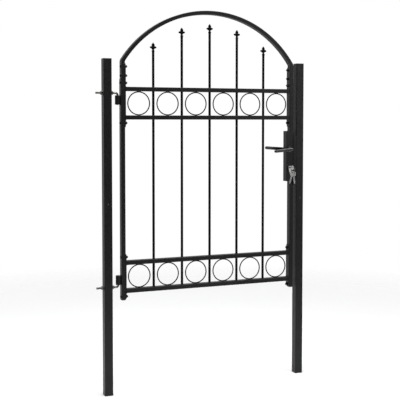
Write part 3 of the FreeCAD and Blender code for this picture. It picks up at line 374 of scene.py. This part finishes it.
def hook(node, pin):
    """A hinge hook with a cut thread on its rod and a plain pin; pin is -1 for down and 1 for up."""
    low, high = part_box(node)
    rod = (high.y - low.y) / 2
    axis_x = high.x - rod
    height = high.z - rod if pin < 0 else low.z + rod
    pin_end = low.z if pin < 0 else high.z
    thread_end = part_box("hook_nuts")[1].x + THREAD_PAST_NUTS - low.x
    bend = Vector((axis_x - HOOK_BEND, 0, height + pin * HOOK_BEND))
    path = stepped([Vector((low.x, 0, height)), Vector((bend.x, 0, height))], THREAD_PITCH / 6)
    for k in range(1, 13):
        angle = math.pi / 2 * k / 12
        path.append(bend + HOOK_BEND * Vector((math.sin(angle), 0, -pin * math.cos(angle))))
    path += stepped([path[-1], Vector((axis_x, 0, pin_end))], 1 * MM)[1:]
    length = [0]
    for before, after in zip(path, path[1:]):
        length.append(length[-1] + (after - before).length)

    def radius_at(k, angle):
        along = length[k]
        turn = (along / THREAD_PITCH - angle / (2 * math.pi)) % 1
        fade = min(1, max(0, (thread_end - along) / THREAD_FADE))
        cut = THREAD_DEPTH * (1 - abs(2 * turn - 1)) * fade
        chamfer = max(0, ROD_CHAMFER - min(along, length[-1] - along))
        return rod - max(cut, chamfer)

    surface = Surface()
    surface.tube(path, Vector((0, 1, 0)), radius_at, 32)
    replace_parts(surface.piece(f"threaded_{node}", "root", "zinc", 50), node)


# ---------------------------------------------------------------- weld beads

BEAD_STEP = 0.6 * MM
BEAD_TAPER = 1.5 * MM
RIPPLE = 2.4 * MM
RAIL_BEAD = 1.7 * MM
BAR_BEAD = 1.2 * MM
RING_BEAD = 1.5 * MM
BARREL_BEAD = 1.9 * MM
BOX_BEAD = 1.6 * MM
TUBE_CORNER = 2 * MM
RAIL_END = 0.6 * MM
RING_SINK = 0.9 * MM
HALF_TACK = 6 * MM
BARREL_SPREAD = 6.8 * MM
BARREL_GAP = 1.2 * MM
BARREL_MARGIN = 3 * MM
X_AXIS = Vector((1, 0, 0))
Y_AXIS = Vector((0, 1, 0))
Z_AXIS = Vector((0, 0, 1))


def loop(centre, along, across, half_along, half_across, corner):
    """A closed path round a rectangle with rounded corners, or round a circle."""
    corners = []
    for quarter, (one, other) in enumerate(((1, 1), (-1, 1), (-1, -1), (1, -1))):
        hub = centre + one * (half_along - corner) * along + other * (half_across - corner) * across
        for k in range(7):
            angle = math.pi / 2 * (quarter + k / 6)
            corners.append(hub + corner * (math.cos(angle) * along + math.sin(angle) * across))
    return stepped(corners, BEAD_STEP, closed=True)


def bead(surface, path, side, size, closed=False):
    """A weld bead: a rippled tube, thinner at the ends of an open path."""
    last = len(path) - 1

    def radius_at(k, angle):
        ripple = abs(math.sin(math.pi * k * BEAD_STEP / RIPPLE))
        taper = 1 if closed else min(1, 0.3 + min(k, last - k) * BEAD_STEP / BEAD_TAPER)
        return size * (0.82 + 0.18 * ripple) * taper

    surface.tube(path, side, radius_at, 8, closed)


RAILS = ("bottom_rail", "lower_band_rail", "upper_band_rail", "top_rail")


def rail_welds():
    """Beads round both ends of every rail, on the end plates."""
    surface = Surface()
    for rail in RAILS:
        low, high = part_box(rail)
        middle = (low + high) / 2
        for x in (low.x + RAIL_END, high.x - RAIL_END):
            centre = Vector((x, middle.y, middle.z))
            half = (high - low) / 2
            path = loop(centre, Y_AXIS, Z_AXIS, half.y, half.z, TUBE_CORNER)
            bead(surface, path, X_AXIS, RAIL_BEAD, closed=True)
    surface.piece("rail_welds", "leaf", "black_powder_coat", 60)


def bar_welds():
    """Small beads where the bars pass through the rails."""
    surface = Surface()
    for rail in RAILS:
        low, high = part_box(rail)
        for bar in BARS:
            bar_low, bar_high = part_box(bar)
            radius = (bar_high.x - bar_low.x) / 2
            for z in (low.z, high.z):
                if bar_low.z < z - 5 * MM:
                    centre = Vector((middle_of(bar).x, 0, z))
                    path = loop(centre, X_AXIS, Y_AXIS, radius, radius, radius)
                    bead(surface, path, Z_AXIS, BAR_BEAD, closed=True)
    surface.piece("bar_welds", "leaf", "black_powder_coat", 60)


def ring_welds():
    """Short tacks, front and back, where each ring touches the rails."""
    surface = Surface()
    pitch = middle_of(BARS[1]).x - middle_of(BARS[0]).x
    for rings in ("lower_rings", "upper_rings"):
        low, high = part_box(rings)
        for number in range(6):
            x = (low.x + high.x) / 2 + (number - 2.5) * pitch
            for z in (low.z + RING_SINK, high.z - RING_SINK):
                for y in (low.y + RING_SINK, high.y - RING_SINK):
                    ends = [Vector((x - HALF_TACK, y, z)), Vector((x + HALF_TACK, y, z))]
                    bead(surface, stepped(ends, BEAD_STEP), Y_AXIS, RING_BEAD)
    surface.piece("ring_welds", "leaf", "black_powder_coat", 60)


def stile_welds():
    """Beads that hold the barrels and the lock box to the stiles."""
    surface = Surface()
    stile_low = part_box("hinge_stile")[0]
    for barrel in ("upper_barrel", "lower_barrel"):
        low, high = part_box(barrel)
        for y in (-BARREL_SPREAD, BARREL_SPREAD):
            x = stile_low.x - BARREL_GAP
            ends = [Vector((x, y, low.z + BARREL_MARGIN)), Vector((x, y, high.z - BARREL_MARGIN))]
            bead(surface, stepped(ends, BEAD_STEP), X_AXIS, BARREL_BEAD)
    box_low, box_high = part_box("lock_box")
    for stile, z in (("lower_lock_stile", box_low.z), ("upper_lock_stile", box_high.z)):
        low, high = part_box(stile)
        middle = (low + high) / 2
        centre = Vector((middle.x, middle.y, z))
        half = (high - low) / 2
        path = loop(centre, X_AXIS, Y_AXIS, half.x, half.y, TUBE_CORNER)
        bead(surface, path, Z_AXIS, BOX_BEAD, closed=True)
    surface.piece("stile_welds", "leaf", "black_powder_coat", 60)


# ---------------------------------------------------------------- finials

# height, half width and half depth of each section, in millimetres from the foot
FINIAL_SECTIONS = (
    (0, 6.3, 6.3), (0.5, 6.5, 6.5), (4, 6.5, 6.5), (4.8, 7.6, 7.6), (6, 8, 8), (7.2, 7.6, 7.6),
    (8, 6.3, 6), (9.2, 5, 4.4), (12, 5.2, 4), (15, 6.2, 3.9), (17.1, 9, 3.7), (18.4, 12.8, 3.5),
    (20.3, 16, 3.3),
    (23, 17, 3.3), (25.7, 16, 3.4), (27.6, 12.8, 3.7), (28.1, 9.2, 3.9), (28.8, 6.8, 4), (31, 7.7, 4),
    (34, 8, 4), (37, 7.1, 3.8), (40, 5, 3.2), (43.5, 2.3, 2), (45.7, 0.5, 0.6),
)


RIB_FROM = 10
RIB_RISE = 0.175
RIB_WIDTH = 1.6
CAST_HALF_DEPTH = 4


def finial(number):
    """A cast finial: a ringed collar, two swelling lobes and a leaf with a soft rib up the middle."""
    node = f"finial_{number}"
    low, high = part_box(node)
    centre = Vector(((low.x + high.x) / 2, (low.y + high.y) / 2, low.z))
    rings = []
    for height, half_width, half_depth in smoothed(FINIAL_SECTIONS, 3):
        ring = []
        for k in range(32):
            angle = 2 * math.pi * k / 32
            x = half_width * math.cos(angle)
            y = half_depth * math.sin(angle)
            if height > RIB_FROM:
                y *= 1 + RIB_RISE * math.exp(-((x / RIB_WIDTH) ** 2))
                y = min(CAST_HALF_DEPTH, max(-CAST_HALF_DEPTH, y))
            ring.append(centre + MM * Vector((x, y, height)))
        rings.append(ring)
    surface = Surface()
    surface.skin(rings)
    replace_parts(surface.piece(f"cast_{node}", "leaf", "black_powder_coat", 70, "rods"), node)


def smoothed(rows, parts):
    """Rows with that many steps between neighbours, on a smooth curve through all of them."""
    result = []
    for k in range(len(rows) - 1):
        around = [rows[max(0, k - 1)], rows[k], rows[k + 1], rows[min(len(rows) - 1, k + 2)]]
        for step in range(parts):
            t = step / parts
            weights = (
                (-t + 2 * t**2 - t**3) / 2,
                (2 - 5 * t**2 + 3 * t**3) / 2,
                (t + 4 * t**2 - 3 * t**3) / 2,
                (t**3 - t**2) / 2,
            )
            row = [sum(w * value for w, value in zip(weights, column)) for column in zip(*around)]
            result.append(tuple(row))
    return result + [rows[-1]]


# ---------------------------------------------------------------- keys

# in millimetres from the middle of the hole in the bow
BOW_RADIUS = 12.5
BOW_DROP = 6.5
HOLE_RADIUS = 4.5
BLADE = 4
KEY_TIP = -57
KEY_CUTS = (2.6, 1.0, 2.1, 1.4, 2.9)
FIRST_CUT = 7
CUT_PITCH = 5.5
CUT_HALF = 2.2
CUT_FLAT = 0.7
KEY_SHEET = 2
KEY_EDGE = 0.2
RING_WIRE = 1.4
RING_PLAY = 1.2
SPARE_TWIST = -48
SPARE_LEANS = ((-2.6, 14), (2.6, -8))


def key_outline(cuts):
    """A key hanging from the hole in its bow: round bow, straight back and a cut edge."""
    meet = math.asin(BLADE / BOW_RADIUS)
    points = []
    for k in range(41):
        angle = -math.pi / 2 + meet + (2 * math.pi - 2 * meet) * k / 40
        points.append((BOW_RADIUS * math.cos(angle), BOW_RADIUS * math.sin(angle) - BOW_DROP))
    points += [(-BLADE, KEY_TIP + 2.5), (2 - BLADE, KEY_TIP)]
    points += [(BLADE - 3.5, KEY_TIP), (BLADE - 1, KEY_TIP + 3)]
    for number, depth in enumerate(cuts):
        z = KEY_TIP + FIRST_CUT + CUT_PITCH * number
        points += [(BLADE, z - CUT_HALF), (BLADE - depth, z - CUT_FLAT)]
        points += [(BLADE - depth, z + CUT_FLAT), (BLADE, z + CUT_HALF)]
    return points


def key_body(name, cuts, place):
    """A stamped key with softened edges, as an object at the given place."""
    curve = bpy.data.curves.new(name, "CURVE")
    curve.dimensions = "2D"
    curve.fill_mode = "BOTH"
    curve.extrude = (KEY_SHEET / 2 - KEY_EDGE) * MM
    curve.bevel_depth = KEY_EDGE * MM
    curve.bevel_resolution = 2
    curve.offset = -KEY_EDGE * MM
    angles = [k * math.pi / 16 for k in range(32)]
    hole = [(HOLE_RADIUS * math.cos(angle), HOLE_RADIUS * math.sin(angle)) for angle in angles]
    for outline in (key_outline(cuts), hole):
        spline = curve.splines.new("POLY")
        spline.points.add(len(outline) - 1)
        for point, (x, z) in zip(spline.points, outline):
            point.co = (x * MM, z * MM, 0, 1)
        spline.use_cyclic_u = True
    shape = bpy.data.objects.new(name, curve)
    bpy.context.scene.collection.objects.link(shape)
    evaluated = shape.evaluated_get(bpy.context.evaluated_depsgraph_get())
    mesh = bpy.data.meshes.new_from_object(evaluated)
    bpy.data.objects.remove(shape)
    bpy.data.curves.remove(curve)
    mesh.transform(place @ Matrix.Rotation(math.pi / 2, 4, "X"))
    return mesh


def keys():
    """The key in the lock, upright, and the two spare keys on the ring, leaning apart."""
    joints = {joint["name"]: joint for joint in frame["record"]["behaviour"]["joints"]}
    x, y, _ = joints["bunch_swing"]["pos_m"]
    z = joints["key_turn"]["pos_m"][2]
    into_lock = Matrix(((0, 1, 0), (0, 0, -1), (-1, 0, 0))).to_4x4()
    inserted = key_body("inserted_key", KEY_CUTS, Matrix.Translation((x, y, z)) @ into_lock)
    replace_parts(joined("cut_door_key", [inserted], "key", "nickel"), "door_key")
    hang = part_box("key_ring")[0].z + (RING_WIRE + RING_PLAY - HOLE_RADIUS) * MM
    twist = Matrix.Rotation(math.radians(SPARE_TWIST), 4, "Z")
    spare = []
    for offset, lean in SPARE_LEANS:
        turn = twist @ Matrix.Rotation(math.radians(lean), 4, "Y")
        place = Matrix.Translation((x + offset * MM, y, hang)) @ turn
        spare.append(key_body("spare_key", KEY_CUTS[::-1], place))
    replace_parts(joined("cut_spare_keys", spare, "key_bunch", "nickel"), "spare_keys")


def joined(name, meshes, body, slot):
    """One object from several meshes, riding on a body."""
    whole = bmesh.new()
    for mesh in meshes:
        whole.from_mesh(mesh)
    mesh = bpy.data.meshes.new(name)
    whole.to_mesh(mesh)
    whole.free()
    mesh.shade_smooth()
    mesh.set_sharp_from_angle(angle=math.radians(35))
    return rider(name, mesh, body, slot)


# ---------------------------------------------------------------- the hinge post's screw


def hinge_post_screw():
    """A screw like the lock post's, at the same height on the front of the hinge post."""
    across = middle_of("hinge_post").x - middle_of("post_screw").x
    mesh = NODES["post_screw"].data.copy()
    mesh.transform(Matrix.Translation((across, 0, 0)))
    rider("hinge_post_screw", mesh, "root", "zinc", "lever_metal")


hook("upper_hinge_hook", -1)
hook("lower_hinge_hook", 1)
hinge_post_screw()
rail_welds()
bar_welds()
ring_welds()
stile_welds()
for number in range(1, 6):
    finial(number)
keys()


# ---------------------------------------------------------------- floor, light, camera


def floor():
    """A pale floor that fades out well away from the gate."""
    bpy.ops.mesh.primitive_plane_add(size=24, location=(0.5, 0, 0))
    plane = bpy.context.object
    plane.name = "floor"
    n = Nodes("pale_floor")
    speckle = n.noise(0.004, 4)
    colour = n.ramp(speckle, (0.3, (0.92, 0.92, 0.92)), (0.7, (0.96, 0.96, 0.96)))
    n.set(Roughness=0.75)
    n.done(colour)
    clear = n.add("ShaderNodeBsdfTransparent")
    reach = n.add("ShaderNodeTexCoord")
    length = n.add("ShaderNodeVectorMath", operation="LENGTH")
    n.link(reach.outputs["Object"], length.inputs[0])
    fade = n.spread(length.outputs["Value"], 1.0, 3.6, 0, 1)
    blend = n.add("ShaderNodeMixShader")
    n.link(fade, blend.inputs["Fac"])
    n.link(n.shader.outputs["BSDF"], blend.inputs[1])
    n.link(clear.outputs["BSDF"], blend.inputs[2])
    n.link(blend.outputs["Shader"], n.tree.nodes["Material Output"].inputs["Surface"])
    plane.data.materials.append(n.material)


# axis, start and end of each change in the light, and its strength at both
SKY = (("Z", 0.2, 0.95, 0.0, 0.5), ("X", 0.1, -0.7, 0.035, 0.1), ("Y", 0.3, 0.9, 0.0, 0.6))


def studio():
    """A white backdrop; its light is dim all round, and brighter from the left, behind and above."""
    world = bpy.data.worlds.new("studio")
    bpy.context.scene.world = world
    world.use_nodes = True
    tree = world.node_tree
    tree.nodes.clear()
    link = tree.links.new
    out = tree.nodes.new("ShaderNodeOutputWorld")
    seen = tree.nodes.new("ShaderNodeBackground")
    light = tree.nodes.new("ShaderNodeBackground")
    ray = tree.nodes.new("ShaderNodeLightPath")
    mix = tree.nodes.new("ShaderNodeMixShader")
    link(ray.outputs["Is Camera Ray"], mix.inputs["Fac"])
    link(light.outputs["Background"], mix.inputs[1])
    link(seen.outputs["Background"], mix.inputs[2])
    link(mix.outputs["Shader"], out.inputs["Surface"])
    seen.inputs["Color"].default_value = (1, 1, 1, 1)
    light.inputs["Color"].default_value = (0.98, 0.99, 1, 1)
    towards = tree.nodes.new("ShaderNodeTexCoord")
    axes = tree.nodes.new("ShaderNodeSeparateXYZ")
    link(towards.outputs["Generated"], axes.inputs["Vector"])
    total = None
    for axis, start, end, low, high in SKY:
        ramp = tree.nodes.new("ShaderNodeMapRange")
        ramp.interpolation_type = "SMOOTHSTEP"
        for key, number in zip(RANGE_SOCKETS, (start, end, low, high)):
            ramp.inputs[key].default_value = number
        link(axes.outputs[axis], ramp.inputs["Value"])
        if total is not None:
            both = tree.nodes.new("ShaderNodeMath")
            link(total, both.inputs[0])
            link(ramp.outputs["Result"], both.inputs[1])
            total = both.outputs["Value"]
        else:
            total = ramp.outputs["Result"]
    link(total, light.inputs["Strength"])


def softbox(name, at, towards, size, power):
    data = bpy.data.lights.new(name, "AREA")
    data.shape = "RECTANGLE"
    data.size, data.size_y = size
    data.energy = power
    lamp = bpy.data.objects.new(name, data)
    bpy.context.scene.collection.objects.link(lamp)
    lamp.location = at
    lamp.rotation_euler = (Vector(towards) - Vector(at)).to_track_quat("-Z", "Y").to_euler()


def camera():
    """The photograph's viewpoint, from the front and left at about chest height."""
    data = bpy.data.cameras.new("camera")
    data.sensor_width = 36
    data.lens = 79.46
    data.shift_y = -0.09
    eye = bpy.data.objects.new("camera", data)
    bpy.context.scene.collection.objects.link(eye)
    eye.location = (-1.1560, -3.9783, 1.2954)
    eye.rotation_euler = (math.radians(90 - 2.802), 0, math.radians(-22.227))
    bpy.context.scene.camera = eye


floor()
studio()
softbox("top_softbox", (0.5, -0.6, 3.6), (0.5, 0, 0), (3.2, 2.4), 145)
softbox("left_softbox", (-3.2, 1.6, 1.7), (0.4, 0, 1.0), (1.2, 2.6), 30)
softbox("near_softbox", (-1.85, -1.2, 1.2), (0.95, 0, 1.05), (0.6, 1.0), 2)
softbox("right_softbox", (3.1, -3.5, 1.7), (0.9, 0, 1.2), (1.4, 1.8), 20)
camera()

bpy.context.scene.view_settings.view_transform = "Standard"
